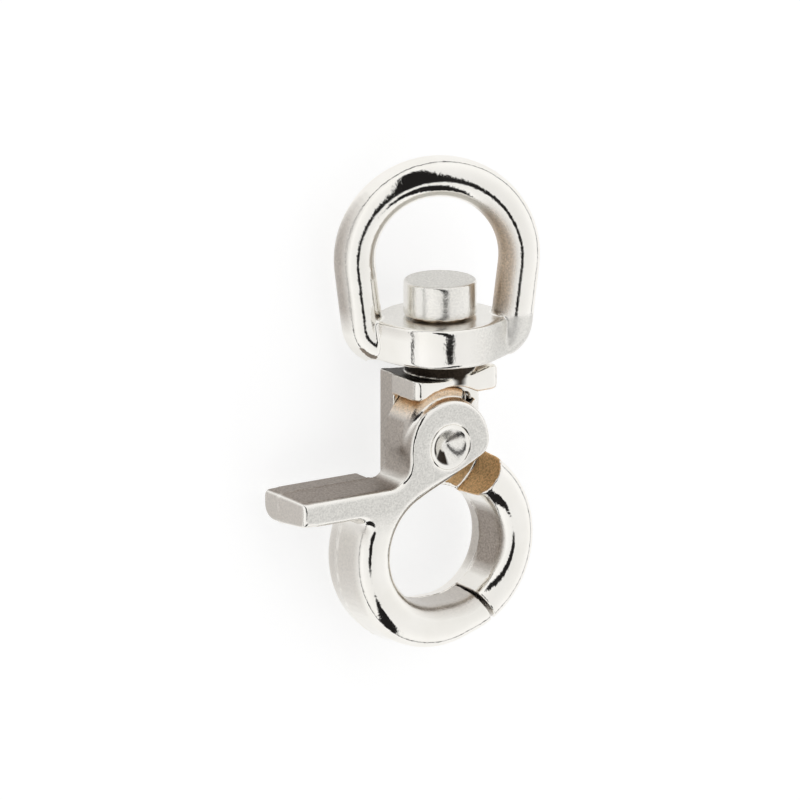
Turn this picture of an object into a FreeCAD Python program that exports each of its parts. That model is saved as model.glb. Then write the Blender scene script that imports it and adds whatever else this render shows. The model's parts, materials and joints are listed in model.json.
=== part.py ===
import FreeCAD, Part
import math
import os

from FreeCAD import Placement, Rotation, Vector

# The snap is drawn flat: x to the right, y along the swivel stem towards the eye, z out of
# the front, where the lever lies. The origin of the drawing is the stem's axis, level with
# the hub's underside and half way through the body's thickness. The last step lays the
# whole snap on its back, with +Z up.

SIZES = [
    # swivel eye: a round rod bent over a short hub ring
    ("hub_radius", 7.2, "outer radius of the hub ring"),
    ("hub_height", 4.6, "height of the hub ring"),
    ("hub_edge", 0.5, "rounding of the hub ring's rims"),
    ("rod_radius", 2.38, "radius of the bow's rod"),
    ("bow_radius", 9.4, "bend radius of the bow on the rod's centreline"),
    ("bow_centre", 11.45, "height of the bow's bend centre over the hub's underside"),
    ("bow_shift", -0.35, "offset of the bow from the stem's axis"),
    ("leg_lean", 6.9, "inward lean of the bow's legs in degrees"),
    ("leg_foot", 1.5, "height at which the legs turn into the hub"),
    ("leg_crook", 0.1, "concave radius where each leg turns into the hub"),
    ("root_radius", 2.4, "radius in plan of the hub's two ears, which carry the legs"),
    ("root_reach", 1.2, "reach of the ears over the hub's outer radius"),
    ("swivel_angle", 25.5, "turn of the eye against the body in degrees"),
    # swivel stem with its head, one casting with the body
    ("stem_radius", 2.9, "radius of the swivel stem"),
    ("stem_play", 0.06, "radial running clearance of the hub's bore"),
    ("head_radius", 4.15, "radius of the stem's head"),
    ("head_height", 4.0, "height of the stem's head"),
    ("head_edge", 0.35, "rounding of the head's top edge"),
    ("axial_play", 0.25, "gap over and under the hub"),
    ("collar_radius", 4.0, "radius of the collar that carries the hub"),
    # body: neck, roof over the lever's boss, back plate and right claw
    ("neck_half_width", 6.0, "half the width of the neck"),
    ("neck_inset", 0.3, "step between the roof's left wall and the neck's"),
    ("front_face", 4.1, "height of the front faces over the drawing plane"),
    ("back_face", 4.1, "depth of the back faces under the drawing plane"),
    ("parting_depth", 0.9, "depth of the parting plane between front and back halves"),
    ("face_play", 0.12, "gap between the sliding halves of lever and body"),
    ("draft", 0.28, "taper of the walls from the parting plane to each face"),
    ("roof_drop", 1.1, "distance from the hub's underside to the roof's top"),
    ("roof_height", 2.8, "height of the roof block at its ends"),
    ("roof_right", 5.6, "reach of the roof to the right of the stem"),
    ("roof_sweep", 7.0, "radius of the roof's underside about the pivot"),
    ("roof_corner", 1.2, "rounding of the roof's two front corners"),
    ("sag_radius", 20.0, "radius of the hollow along the roof's top"),
    ("sag_depth", 0.9, "depth of the hollow under the roof's top"),
    ("sag_x", -1.6, "x of the hollow's lowest place"),
    ("step_radius", 7.8, "radius of the claw's step about the pivot"),
    ("lug_radius", 6.1, "radius of the back plate about the pivot"),
    ("lug_play", 0.3, "gap between the back plate and the lever's back half"),
    # ring of the jaw, shared by both claws
    ("ring_radius", 11.4, "outer radius of the jaw"),
    ("ring_left", -2.15, "x of the left outer arc's centre"),
    ("ring_right", -0.35, "x of the right outer arc's centre"),
    ("ring_y", -21.8, "y of the outer arcs' centres, on average"),
    ("ring_rise", 0.6, "height of the right outer arc's centre over the left one's"),
    ("opening_radius", 6.4, "radius of the jaw's opening"),
    ("opening_left", -2.0, "x of the opening's left centre"),
    ("opening_right", -0.4, "x of the opening's right centre"),
    ("opening_y", -21.85, "y of the opening's centres"),
    ("front_split", -54.5, "angle of the front split in degrees"),
    ("back_split", -126.0, "angle of the back split in degrees"),
    ("split_gap", 0.12, "half the gap at each split"),
    ("claw_root", 75.0, "angle where the right claw starts under the neck in degrees"),
    ("lever_root", 140.0, "angle where the lever's back half starts in degrees"),
    ("thumb_joint", 150.0, "angle where the thumb piece runs into the claw in degrees"),
    ("jaw_edge", 2.25, "rounding of the jaw's front and back edges"),
    ("plate_edge", 0.7, "rounding of the other outer edges"),
    # lever
    ("pivot_x", -1.25, "x of the lever's pivot"),
    ("pivot_y", -9.8, "y of the lever's pivot"),
    ("boss_radius", 5.75, "radius of the lever's boss"),
    ("crown_radius", 5.95, "radius of the crown behind the boss, which fills the roof's hollow"),
    ("crown_lift", 0.85, "height of the crown's centre over the pivot"),
    ("crown_drop", 0.95, "depth of the crown's front under the front face"),
    ("crown_start", 68.0, "angle where the crown ends beside the spring in degrees"),
    ("dip_radius", 3.3, "radius of the shallow dip in the boss about the rivet"),
    ("dip_depth", 0.35, "depth of that dip"),
    ("arm_heel", 2.2, "concave radius between arm and thumb piece"),
    ("arm_slope", 28.0, "slope of the arm's lower right edge in degrees"),
    ("arm_corner", 2.4, "radius between the boss and the arm's lower edge"),
    ("thumb_end", -21.5, "x of the thumb piece's end"),
    ("thumb_top", -13.3, "y of the thumb piece's top"),
    ("thumb_height", 3.5, "height of the thumb piece"),
    ("thumb_crook", 1.2, "concave radius between the thumb piece's underside and the claw"),
    ("thumb_under", 2.2, "rounding of the thumb piece's underside at the back"),
    # pivot rivet
    ("rivet_radius", 2.3, "radius of the pivot rivet"),
    ("rivet_play", 0.05, "radial running clearance of the lever on the rivet"),
    ("rivet_sink", 0.25, "depth of the rivet's ends under the faces"),
    ("dimple_depth", 1.3, "depth of the dish in the rivet's ends"),
    ("bore_flare", 0.45, "chamfer at the mouth of the lever's bore"),
    # closing spring, a straight coil between the lever's groove and the body's tooth
    ("spring_radius", 0.7, "outer radius of the coil"),
    ("wire_radius", 0.15, "radius of the spring wire"),
    ("spring_turns", 6.0, "turns of the coil"),
    ("spring_start", 98.0, "angle of the lever's groove wall in degrees"),
    ("spring_stop", 47.0, "angle of the body's tooth in degrees"),
    ("spring_sweep", 6.15, "radius of the coil's ends about the pivot"),
    ("spring_level", 1.7, "height of the coil's axis over the drawing plane"),
    ("groove_play", 0.2, "clearance of the coil in its groove"),
    ("tooth_angle", 8.0, "width of the body's tooth in degrees"),
    ("lever_swing", 30.0, "swing of the lever from closed to open in degrees"),
    ("cut_margin", 1.0, "overshoot of a cutting body past the face that it leaves"),
    # lying on its back
    ("rest_pitch", 5.29, "rise of the jaw's back against the hub's edge in degrees"),
    ("rest_roll", 2.22, "lean towards the thumb piece in degrees"),
]

doc = FreeCAD.newDocument("lever_snap")
sheet = doc.addObject("Spreadsheet::Sheet", "Sizes")
for row, (name, value, note) in enumerate(SIZES, start=1):
    sheet.set(f"A{row}", name)
    sheet.set(f"B{row}", str(value))
    sheet.set(f"C{row}", note)
    sheet.setAlias(f"B{row}", name)
doc.recompute()


def size(name):
    return float(sheet.get(name))


def bind(item, formulas):
    for prop, formula in formulas.items():
        item.setExpression(prop, formula)
    return item


# A cylinder or cone that stands on the drawing plane's z, between two heights. The radius
# is the one at the parting plane, and grow is what it gains at the face.
def round_block(name, x, y, radius, low, high, grow_low="0", grow_high="0"):
    return bind(doc.addObject("Part::Cone", name), {
        "Radius1": f"{radius} + {grow_low}",
        "Radius2": f"{radius} + {grow_high} + 0.00001",
        "Height": f"{high} - ({low})",
        "Placement.Base.x": x,
        "Placement.Base.y": y,
        "Placement.Base.z": low,
    })


# A box between two corners.
def block(name, left, right, bottom, top, low, high):
    return bind(doc.addObject("Part::Box", name), {
        "Length": f"{right} - ({left})",
        "Width": f"{top} - ({bottom})",
        "Height": f"{high} - ({low})",
        "Placement.Base.x": left,
        "Placement.Base.y": bottom,
        "Placement.Base.z": low,
    })


# A rectangle of the given half width between two points, tapered like the arcs beside it.
def tapered_bar(name, start, end, half, low, high, grow_low="0", grow_high="0"):
    length = f"{math.dist(start, end)}"
    bar = bind(doc.addObject("Part::Wedge", name), {
        "Xmin": "0", "Xmax": length, "X2min": "0", "X2max": length,
        "Zmin": f"-({half} + {grow_low})", "Zmax": f"{half} + {grow_low}",
        "Z2min": f"-({half} + {grow_high})", "Z2max": f"{half} + {grow_high}",
        "Ymin": "0", "Ymax": f"{high} - ({low})",
        "Placement.Base.x": f"{start[0]}", "Placement.Base.y": f"{start[1]}",
        "Placement.Base.z": low,
    })
    bar.Placement.Rotation = Rotation(Vector(0, 0, 1), tilt_of(start, end)) * Rotation(
        Vector(1, 0, 0), 90)
    return bar


def tilt_of(start, end):
    return math.degrees(math.atan2(end[1] - start[1], end[0] - start[0]))


def fuse(name, pieces):
    joined = doc.addObject("Part::MultiFuse", name)
    joined.Shapes = pieces
    joined.Refine = True
    return joined


def cut(name, base, tool):
    rest = doc.addObject("Part::Cut", name)
    rest.Base = base
    rest.Tool = tool
    rest.Refine = True
    return rest


def common(name, base, tool):
    shared = doc.addObject("Part::MultiCommon", name)
    shared.Shapes = [base, tool]
    return shared


def outline(name, edges):
    face = doc.addObject("Part::Feature", name)
    face.Shape = Part.Face(Part.Wire(edges))
    return face


# An outline drawn at z = 0, pushed up to fill the space between two heights.
def extrude(name, face, low, high):
    face.setExpression("Placement.Base.z", low)
    solid = doc.addObject("Part::Extrusion", name)
    solid.Base = face
    solid.Dir = Vector(0, 0, 1)
    solid.Solid = True
    solid.setExpression("LengthFwd", f"{high} - ({low})")
    return solid


# Two places closer than this, in millimetres, are the same.
TOUCH = 0.001


# Rounds the edges that a test picks, each by its own radius.
def rounded(name, base, radius_of_edge):
    doc.recompute()
    picked = []
    for number, edge in enumerate(base.Shape.Edges, start=1):
        radius = radius_of_edge(edge)
        if radius:
            picked.append((number, radius, radius))
    soft = doc.addObject("Part::Fillet", name)
    soft.Base = base
    soft.Edges = picked
    doc.recompute()
    return soft


def line(start, end):
    return Part.LineSegment(Vector(*start, 0), Vector(*end, 0)).toShape()


# The arc about a centre from one point to another, turning the way of sign.
def arc(centre, start, end, sign):
    a = math.atan2(start[1] - centre[1], start[0] - centre[0])
    b = math.atan2(end[1] - centre[1], end[0] - centre[0])
    turn = (b - a) * sign % (2 * math.pi) * sign
    radius = math.hypot(start[0] - centre[0], start[1] - centre[1])
    middle = a + turn / 2
    through = (centre[0] + radius * math.cos(middle), centre[1] + radius * math.sin(middle))
    return Part.Arc(Vector(*start, 0), Vector(*through, 0), Vector(*end, 0)).toShape()


def polar(centre, radius, degrees):
    angle = math.radians(degrees)
    return centre[0] + radius * math.cos(angle), centre[1] + radius * math.sin(angle)


def middle_of(edge):
    return edge.valueAt((edge.FirstParameter + edge.LastParameter) / 2)


def flat_at(edge, height):
    box = edge.BoundBox
    return abs(box.ZMin - height) < TOUCH and abs(box.ZMax - height) < TOUCH


def level_edge(edge):
    return edge.BoundBox.YLength < TOUCH


PIVOT = (size("pivot_x"), size("pivot_y"))
RING = ((size("ring_left") + size("ring_right")) / 2, size("ring_y"))
RING_LEFT = (size("ring_left"), size("ring_y") - size("ring_rise") / 2)
RING_RIGHT = (size("ring_right"), size("ring_y") + size("ring_rise") / 2)
OPENING_LEFT = (size("opening_left"), size("opening_y"))
OPENING_RIGHT = (size("opening_right"), size("opening_y"))
FAR = 3 * size("ring_radius")

FRONT = "Sizes.front_face"
BACK = "-Sizes.back_face"
LEVER_LEVEL = "(-Sizes.parting_depth + Sizes.face_play / 2)"
BODY_LEVEL = "(-Sizes.parting_depth - Sizes.face_play / 2)"


# The jaw's rounding, which its wall limits: two of them leave a little of the face flat.
def jaw_rounding():
    ring, opening = size("ring_radius"), size("opening_radius")
    offset = abs(size("ring_y") - size("opening_y")) + abs(size("ring_rise")) / 2
    walls = (OPENING_LEFT[0] - opening - (RING_LEFT[0] - ring),
             RING_RIGHT[0] + ring - (OPENING_RIGHT[0] + opening),
             ring - opening - offset)
    half = min(walls) / 2 - size("draft")
    lean = math.atan(size("draft") / (size("front_face") + size("parting_depth")))
    fits = half * math.tan((math.pi / 2 + lean) / 2)
    return min(size("jaw_edge"), 0.98 * fits)


# The whole jaw ring, drafted both ways from the parting plane and rounded front and back.
def jaw_ring(owner, level):
    def oval(name, left, right, radius, grow):
        parts = []
        for half, low, high, grow_low, grow_high in (
                ("front", level, FRONT, "0", grow), ("back", BACK, level, grow, "0")):
            for side, centre, turn in (("left", left, 90), ("right", right, -90)):
                cone = round_block(f"{owner}_{name}_{half}_{side}", f"{centre[0]}", f"{centre[1]}",
                                   radius, low, high, grow_low, grow_high)
                cone.Angle = 180
                cone.Placement.Rotation = Rotation(Vector(0, 0, 1), turn + tilt_of(left, right))
                parts.append(cone)
            parts.append(tapered_bar(f"{owner}_{name}_{half}_bar", left, right, radius,
                                     low, high, grow_low, grow_high))
        return fuse(f"{owner}_{name}", parts)

    outer = oval("outer", RING_LEFT, RING_RIGHT, "Sizes.ring_radius", "-Sizes.draft")
    inner = oval("opening", OPENING_LEFT, OPENING_RIGHT, "Sizes.opening_radius", "Sizes.draft")
    ring = cut(f"{owner}_ring", outer, inner)
    faces = (size("front_face"), -size("back_face"))
    return rounded(f"{owner}_jaw", ring, lambda edge: jaw_rounding() * any(
        flat_at(edge, height) for height in faces))


# A wedge about the ring's centre between two directions, turning anticlockwise.
def sector(name, start, end, shift_start, shift_end, low, high):
    middle = (start + end) / 2
    offset_start = polar((0, 0), shift_start, start + 90)
    offset_end = polar((0, 0), shift_end, end - 90)
    corner = polar(RING, (shift_start + shift_end) / 2, middle)
    first = polar(RING, FAR, start)
    last = polar(RING, FAR, end)
    first = (first[0] + offset_start[0], first[1] + offset_start[1])
    last = (last[0] + offset_end[0], last[1] + offset_end[1])
    edges = [line(corner, first), arc(corner, first, last, 1)]
    return extrude(f"{name}_wedge", outline(f"{name}_sketch", edges + [line(last, corner)]), low, high)


# The hub in plan: a circle with an ear at each side, joined by tangents.
def hub_plan():
    hub, ear = size("hub_radius"), size("root_radius")
    ear_x = hub + size("root_reach") - ear
    lean = math.degrees(math.acos((hub - ear) / ear_x))
    edges = []
    for side in (0, 180):
        centre = polar((0, 0), ear_x, side)
        below, above = side - lean, side + lean
        hub_below, ear_below = polar((0, 0), hub, below), polar(centre, ear, below)
        ear_above, hub_above = polar(centre, ear, above), polar((0, 0), hub, above)
        next_hub = polar((0, 0), hub, side + 180 - lean)
        edges += [line(hub_below, ear_below), arc(centre, ear_below, ear_above, 1),
                  line(ear_above, hub_above), arc((0, 0), hub_above, next_hub, 1)]
    return outline("hub_plan", edges)


# Swivel eye. Its hub stands on the drawing's y axis; the bow is bent in the plane x-y and
# the whole eye is turned about the stem at the end.
def make_swivel_eye():
    along_y = Rotation(Vector(1, 0, 0), -90)
    hub = extrude("hub", hub_plan(), "0", "Sizes.hub_height")
    hub.Placement.Rotation = along_y
    hub_soft = rounded("hub_soft", hub, lambda edge: size("hub_edge") * level_edge(edge))
    arch = bind(doc.addObject("Part::Torus", "bow_arch"), {
        "Radius1": "Sizes.bow_radius", "Radius2": "Sizes.rod_radius",
        "Angle3": "180 + 2 * Sizes.leg_lean", "Placement.Base.x": "Sizes.bow_shift",
        "Placement.Base.y": "Sizes.bow_centre"})
    arch.Placement.Rotation = Rotation(Vector(0, 0, 1), -size("leg_lean"))
    pieces = [hub_soft, arch]
    lean = size("leg_lean")
    bend = size("rod_radius") + size("leg_crook")
    drop = size("bow_centre") - size("leg_foot")
    foot_x = (size("bow_radius") - drop * math.sin(math.radians(lean))) / math.cos(math.radians(lean))
    bend_centre = (foot_x - bend * math.tan(math.radians(90 - lean) / 2), size("leg_foot") + bend)
    for side, sign in (("left", -1), ("right", 1)):
        centre = (size("bow_shift") + sign * bend_centre[0], bend_centre[1])
        outward = 180 + lean if sign < 0 else -lean
        top = polar((size("bow_shift"), size("bow_centre")), size("bow_radius"), outward)
        knee = polar(centre, bend, outward)
        leg = bind(doc.addObject("Part::Cylinder", f"leg_{side}"), {"Radius": "Sizes.rod_radius"})
        leg.Height = math.hypot(top[0] - knee[0], top[1] - knee[1])
        leg.Placement = Placement(Vector(*knee, 0), Rotation(
            Vector(0, 0, 1), Vector(top[0] - knee[0], top[1] - knee[1], 0)))
        elbow = bind(doc.addObject("Part::Torus", f"elbow_{side}"), {
            "Radius1": "Sizes.rod_radius + Sizes.leg_crook", "Radius2": "Sizes.rod_radius",
            "Angle3": "90 - Sizes.leg_lean"})
        elbow.Placement = Placement(Vector(*centre, 0), Rotation(
            Vector(0, 0, 1), outward if sign < 0 else -90))
        pieces += [leg, elbow]
    casting = fuse("eye_casting", pieces)
    bore = bind(doc.addObject("Part::Cylinder", "hub_bore"), {
        "Radius": "Sizes.stem_radius + Sizes.stem_play",
        "Height": "Sizes.hub_height + 2 * Sizes.cut_margin", "Placement.Base.y": "-Sizes.cut_margin"})
    bore.Placement.Rotation = along_y
    flat = block("hub_underside", "-Sizes.hub_radius - Sizes.root_reach",
                 "Sizes.hub_radius + Sizes.root_reach", "-Sizes.rod_radius", "0",
                 "-Sizes.hub_radius", "Sizes.hub_radius")
    return cut("swivel_eye", cut("eye_trimmed", casting, flat), bore)


# Where a ray from a point, in the given direction, leaves a circle.
def ray_meets(start, degrees, centre, radius):
    step = polar((0, 0), 1, degrees)
    away = (start[0] - centre[0], start[1] - centre[1])
    along = away[0] * step[0] + away[1] * step[1]
    inside = along ** 2 - away[0] ** 2 - away[1] ** 2 + radius ** 2
    reach = -along + math.sqrt(inside)
    return start[0] + step[0] * reach, start[1] + step[1] * reach


# The ends of the lower tangent of two equal circles.
def lower_tangent(left, right, radius):
    down = tilt_of(left, right) - 90
    return [polar(left, radius, down), polar(right, radius, down)]


# The lever's front half in plan: boss, arm, thumb piece and claw down to the front split.
def lever_front_plan():
    boss = size("boss_radius")
    slope = math.radians(size("arm_slope"))
    along = (math.cos(slope), math.sin(slope))
    across = (math.sin(slope), -math.cos(slope))
    opening, ring = size("opening_radius"), size("ring_radius")
    tangent = (OPENING_LEFT[0] - across[0] * opening, OPENING_LEFT[1] - across[1] * opening)
    reach = (tangent[0] - PIVOT[0]) * across[0] + (tangent[1] - PIVOT[1]) * across[1]
    corner = size("arm_corner")
    side = math.sqrt((boss - corner) ** 2 - (reach - corner) ** 2)
    bend = (PIVOT[0] + across[0] * (reach - corner) + along[0] * side,
            PIVOT[1] + across[1] * (reach - corner) + along[1] * side)
    scale = boss / (boss - corner)
    leaves_boss = (PIVOT[0] + (bend[0] - PIVOT[0]) * scale, PIVOT[1] + (bend[1] - PIVOT[1]) * scale)
    meets_edge = (bend[0] + across[0] * corner, bend[1] + across[1] * corner)
    boss_left = (PIVOT[0] - boss, PIVOT[1])
    heel = size("arm_heel")
    top, end = size("thumb_top"), size("thumb_end")
    under = top - size("thumb_height")
    heel_top = (boss_left[0], top + heel)
    heel_end = (boss_left[0] - heel, top)
    heel_centre = (heel_end[0], heel_top[1])
    split = size("front_split")
    split_start = polar(RING, size("split_gap"), split - 90)
    tip_inside = ray_meets(split_start, split, OPENING_RIGHT, opening)
    tip_outside = ray_meets(split_start, split, RING_RIGHT, ring)
    low_opening = lower_tangent(OPENING_LEFT, OPENING_RIGHT, opening)
    low_ring = lower_tangent(RING_LEFT, RING_RIGHT, ring)
    crook = size("thumb_crook")
    drop = RING_LEFT[1] - under + crook
    crook_centre = (RING_LEFT[0] - math.sqrt((ring + crook) ** 2 - drop ** 2), under - crook)
    crook_scale = ring / (ring + crook)
    crook_ring = (RING_LEFT[0] + (crook_centre[0] - RING_LEFT[0]) * crook_scale,
                  RING_LEFT[1] + (crook_centre[1] - RING_LEFT[1]) * crook_scale)
    crook_thumb = (crook_centre[0], under)
    return [
        ("plate", arc(PIVOT, boss_left, leaves_boss, -1)),
        ("plate", arc(bend, leaves_boss, meets_edge, -1)),
        ("grow", line(meets_edge, tangent)),
        ("jaw", arc(OPENING_LEFT, tangent, low_opening[0], 1)),
        ("jaw", line(*low_opening)),
        ("jaw", arc(OPENING_RIGHT, low_opening[1], tip_inside, 1)),
        ("split", line(tip_inside, tip_outside)),
        ("jaw", arc(RING_RIGHT, tip_outside, low_ring[1], -1)),
        ("jaw", line(*low_ring)),
        ("jaw", arc(RING_LEFT, low_ring[0], crook_ring, -1)),
        ("shrink", arc(crook_centre, crook_ring, crook_thumb, 1)),
        ("plate", line(crook_thumb, (end, under))),
        ("plate", line((end, under), (end, top))),
        ("plate", line((end, top), heel_end)),
        ("plate", arc(heel_centre, heel_end, heel_top, 1)),
        ("plate", line(heel_top, boss_left)),
    ]


# Lever: the plate over the front, the thumb piece and the left claw through both halves.
def make_lever():
    plan = lever_front_plan()
    plate = extrude("lever_front_plate", outline("lever_front_plan", [edge for _, edge in plan]),
                    LEVER_LEVEL, FRONT)
    rise = size("front_face") + size("parting_depth")
    plate.TaperAngle = -math.degrees(math.atan(size("draft") / rise))
    doc.recompute()
    edge, jaw_edge = size("plate_edge"), jaw_rounding()
    radii = {"plate": (edge, edge), "grow": (edge, jaw_edge), "jaw": (jaw_edge, jaw_edge),
             "shrink": (jaw_edge, edge)}
    face_edges = [(number, e) for number, e in enumerate(plate.Shape.Edges, start=1)
                  if flat_at(e, size("front_face"))]
    picked = []
    for kind, flat_edge in plan:
        for number, edge_at_face in face_edges:
            apart = middle_of(edge_at_face) - middle_of(flat_edge)
            if kind != "split" and math.hypot(apart.x, apart.y) < 1.5 * size("draft"):
                picked.append((number, *radii[kind]))
    soft_plate = doc.addObject("Part::Fillet", "lever_front_soft")
    soft_plate.Base = plate
    soft_plate.Edges = picked
    doc.recompute()
    middle = (size("ring_radius") + size("opening_radius")) / 2
    joins = polar(RING, middle, size("thumb_joint"))[0]
    thumb_back = block("thumb_back", "Sizes.thumb_end", f"{joins}",
                       "Sizes.thumb_top - Sizes.thumb_height", "Sizes.thumb_top", BACK, LEVER_LEVEL)

    def thumb_radius(e):
        if not flat_at(e, -size("back_face")) or e.BoundBox.XMin > joins - edge:
            return 0
        low = abs(e.BoundBox.YMax - (size("thumb_top") - size("thumb_height"))) < TOUCH
        return size("thumb_under") if low else edge

    soft_thumb = rounded("thumb_back_soft", thumb_back, thumb_radius)
    jaw = jaw_ring("lever", LEVER_LEVEL)
    gap = size("split_gap")
    claw = common("lever_claw_back", jaw, sector("lever_back", size("lever_root"),
                                                 size("back_split") + 360,
                                                 0, gap, BACK, LEVER_LEVEL))
    casting = fuse("lever_casting", [soft_plate, soft_thumb, claw, boss_crown()])
    x, y = "Sizes.pivot_x", "Sizes.pivot_y"
    clearances = [
        round_block("lever_lug_room", x, y, "Sizes.lug_radius + Sizes.lug_play",
                    f"{BACK} - Sizes.cut_margin", LEVER_LEVEL),
        round_block("lever_bore", x, y, "Sizes.rivet_radius + Sizes.rivet_play",
                    f"{LEVER_LEVEL} - Sizes.cut_margin", f"{FRONT} + Sizes.cut_margin"),
        round_block("lever_flare", x, y, "Sizes.rivet_radius + Sizes.rivet_play",
                    f"{FRONT} - Sizes.bore_flare", f"{FRONT} + Sizes.bore_flare",
                    "0", "2 * Sizes.bore_flare"),
        ball_over("lever_dip", size("dip_radius"), size("dip_depth"), size("front_face"), 1),
        spring_groove(),
        tooth_path(),
    ]
    return cut("lever", casting, fuse("lever_clearances", clearances))


# A ball over the pivot that cuts a dish of the given radius and depth into a face.
def ball_over(name, radius, depth, face, sign):
    ball = doc.addObject("Part::Sphere", name)
    ball.Radius = (radius ** 2 + depth ** 2) / (2 * depth)
    ball.Placement.Base = Vector(*PIVOT, sign * (face - depth + ball.Radius.Value))
    return ball


# The boss grows behind its front face and fills the hollow under the roof, up to the place
# where the spring shows.
def boss_crown():
    crown = round_block("crown_disc", "Sizes.pivot_x", "Sizes.pivot_y + Sizes.crown_lift",
                        "Sizes.crown_radius", LEVER_LEVEL, f"{FRONT} - Sizes.crown_drop")
    crown_soft = rounded("crown_soft", crown, lambda e: size("plate_edge") * flat_at(
        e, size("front_face") - size("crown_drop")))
    sides = extrude("crown_wedge", ring_sector("crown_sketch", size("boss_radius") / 2, FAR,
                                               size("crown_start"), 180), LEVER_LEVEL, FRONT)
    return common("boss_crown", crown_soft, sides)


# How near the coil comes to the pivot, in the middle of its straight run.
def coil_floor():
    half_turn = math.radians((size("spring_start") - size("spring_stop")) / 2)
    return size("spring_sweep") * math.cos(half_turn) - size("spring_radius")


def spring_groove():
    play = size("groove_play")
    start = size("spring_stop") - 1.5 * size("tooth_angle")
    outside = size("spring_sweep") + size("spring_radius") + play
    return extrude("spring_groove", ring_sector("groove_sketch", coil_floor() - play, outside,
                                                start, size("spring_start")),
                   "Sizes.spring_level - Sizes.spring_radius - Sizes.groove_play",
                   "Sizes.spring_level + Sizes.spring_radius + Sizes.groove_play")


# The body's tooth enters the groove from behind and runs along it as the lever swings.
def tooth_path():
    play = size("groove_play")
    start = size("spring_stop") - 1.5 * size("tooth_angle")
    end = size("spring_stop") + size("lever_swing") + size("tooth_angle") / 2
    outside = size("spring_sweep") + size("spring_radius") + play
    return extrude("tooth_path", ring_sector("path_sketch", coil_floor() - play, outside, start, end),
                   f"{LEVER_LEVEL} - Sizes.cut_margin", "Sizes.spring_level")


# A piece of a flat ring about the pivot.
def ring_sector(name, inner, outer, start, end):
    a, b = polar(PIVOT, inner, start), polar(PIVOT, outer, start)
    c, d = polar(PIVOT, outer, end), polar(PIVOT, inner, end)
    return outline(name, [line(a, b), arc(PIVOT, b, c, 1), line(c, d), arc(PIVOT, d, a, -1)])


# Body: stem with head and collar, neck with the roof, back plate and right claw.
def make_body():
    along_y = Rotation(Vector(1, 0, 0), -90)

    def turned(name, radius, low, high):
        item = bind(doc.addObject("Part::Cylinder", name), {
            "Radius": radius, "Height": f"{high} - ({low})", "Placement.Base.y": low})
        item.Placement.Rotation = along_y
        return item

    head = turned("stem_head", "Sizes.head_radius", "Sizes.hub_height + Sizes.axial_play",
                  "Sizes.hub_height + Sizes.axial_play + Sizes.head_height")
    top = size("hub_height") + size("axial_play") + size("head_height")
    soft_head = rounded("stem_head_soft", head, lambda e: size("head_edge") * (
        e.Closed and abs(e.BoundBox.YMin - top) < 1e-3))
    foot = "-Sizes.roof_drop - 1.5 * Sizes.sag_depth"
    stem = turned("stem", "Sizes.stem_radius", foot, "Sizes.hub_height + 2 * Sizes.axial_play")
    collar = turned("collar", "Sizes.collar_radius", foot, "-Sizes.axial_play")
    edge = size("plate_edge")
    back, front = size("back_face"), size("front_face")
    neck_foot = size("pivot_y") - size("boss_radius") / 2
    hollow = round_block("roof_sag", "Sizes.sag_x", "-Sizes.roof_drop - Sizes.sag_depth + Sizes.sag_radius",
                         "Sizes.sag_radius", f"{BACK} - Sizes.cut_margin", f"{FRONT} + Sizes.cut_margin")
    neck = block("neck", "-Sizes.neck_half_width + Sizes.neck_inset", "Sizes.neck_half_width",
                 f"{neck_foot}", "-Sizes.roof_drop", BACK, BODY_LEVEL)
    soft_neck = rounded("neck_soft", neck, lambda e: edge * (
        flat_at(e, -back) and e.BoundBox.YMax > neck_foot + edge))
    roof = block("roof", "-Sizes.neck_half_width", "Sizes.roof_right",
                 "-Sizes.roof_drop - Sizes.roof_height", "-Sizes.roof_drop", BODY_LEVEL, FRONT)

    def roof_radius(e):
        box = e.BoundBox
        if flat_at(e, front):
            upright = box.XLength < TOUCH
            return size("roof_corner") if upright else edge / 2
        return edge * (box.XMin > size("roof_right") - TOUCH and box.YLength < TOUCH)

    soft_roof = rounded("roof_soft", roof, roof_radius)
    x, y = "Sizes.pivot_x", "Sizes.pivot_y"
    sweep = round_block("roof_sweep", x, y, "Sizes.roof_sweep", BODY_LEVEL,
                        f"{FRONT} + Sizes.cut_margin")
    roof_cut = cut("roof_over_boss", soft_roof, fuse("roof_room", [sweep, hollow]))

    lug_disc = round_block("lug_disc", x, y, "Sizes.lug_radius", BACK, BODY_LEVEL)
    lug_band = block("lug_band", "-Sizes.neck_half_width + Sizes.neck_inset", "Sizes.neck_half_width",
                     "Sizes.pivot_y - Sizes.lug_radius - Sizes.cut_margin", "Sizes.pivot_y",
                     BACK, BODY_LEVEL)
    lug = common("lug", lug_disc, lug_band)
    lug_soft = rounded("lug_soft", lug, lambda e: edge * (
        flat_at(e, -back) and e.BoundBox.YMin < size("pivot_y") - edge))

    jaw = jaw_ring("body", BODY_LEVEL)
    gap, root = size("split_gap"), size("claw_root")
    claw_front = cut("body_claw_stepped",
                     common("body_claw_front", jaw, sector("body_front", size("front_split"), root,
                                                           gap, 0, BODY_LEVEL, FRONT)),
                     round_block("claw_step", x, y, "Sizes.step_radius", BODY_LEVEL,
                                 f"{FRONT} + Sizes.cut_margin"))
    claw_back = common("body_claw_back", jaw, sector("body_back", size("back_split"), root,
                                                     gap, 0, BACK, BODY_LEVEL))
    opening = doc.getObject("body_opening")
    neck_cut = cut("neck_sagged", soft_neck, hollow)
    plate = cut("back_plate", fuse("back_plate_whole", [neck_cut, lug_soft]), opening)

    casting = fuse("body_casting", [soft_head, stem, collar, plate, roof_cut, claw_front,
                                    claw_back, spring_tooth()])
    bore = round_block("body_bore", x, y, "Sizes.rivet_radius", f"{BACK} - Sizes.cut_margin",
                       f"{BODY_LEVEL} + Sizes.cut_margin")
    return cut("body", casting, bore)


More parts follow.
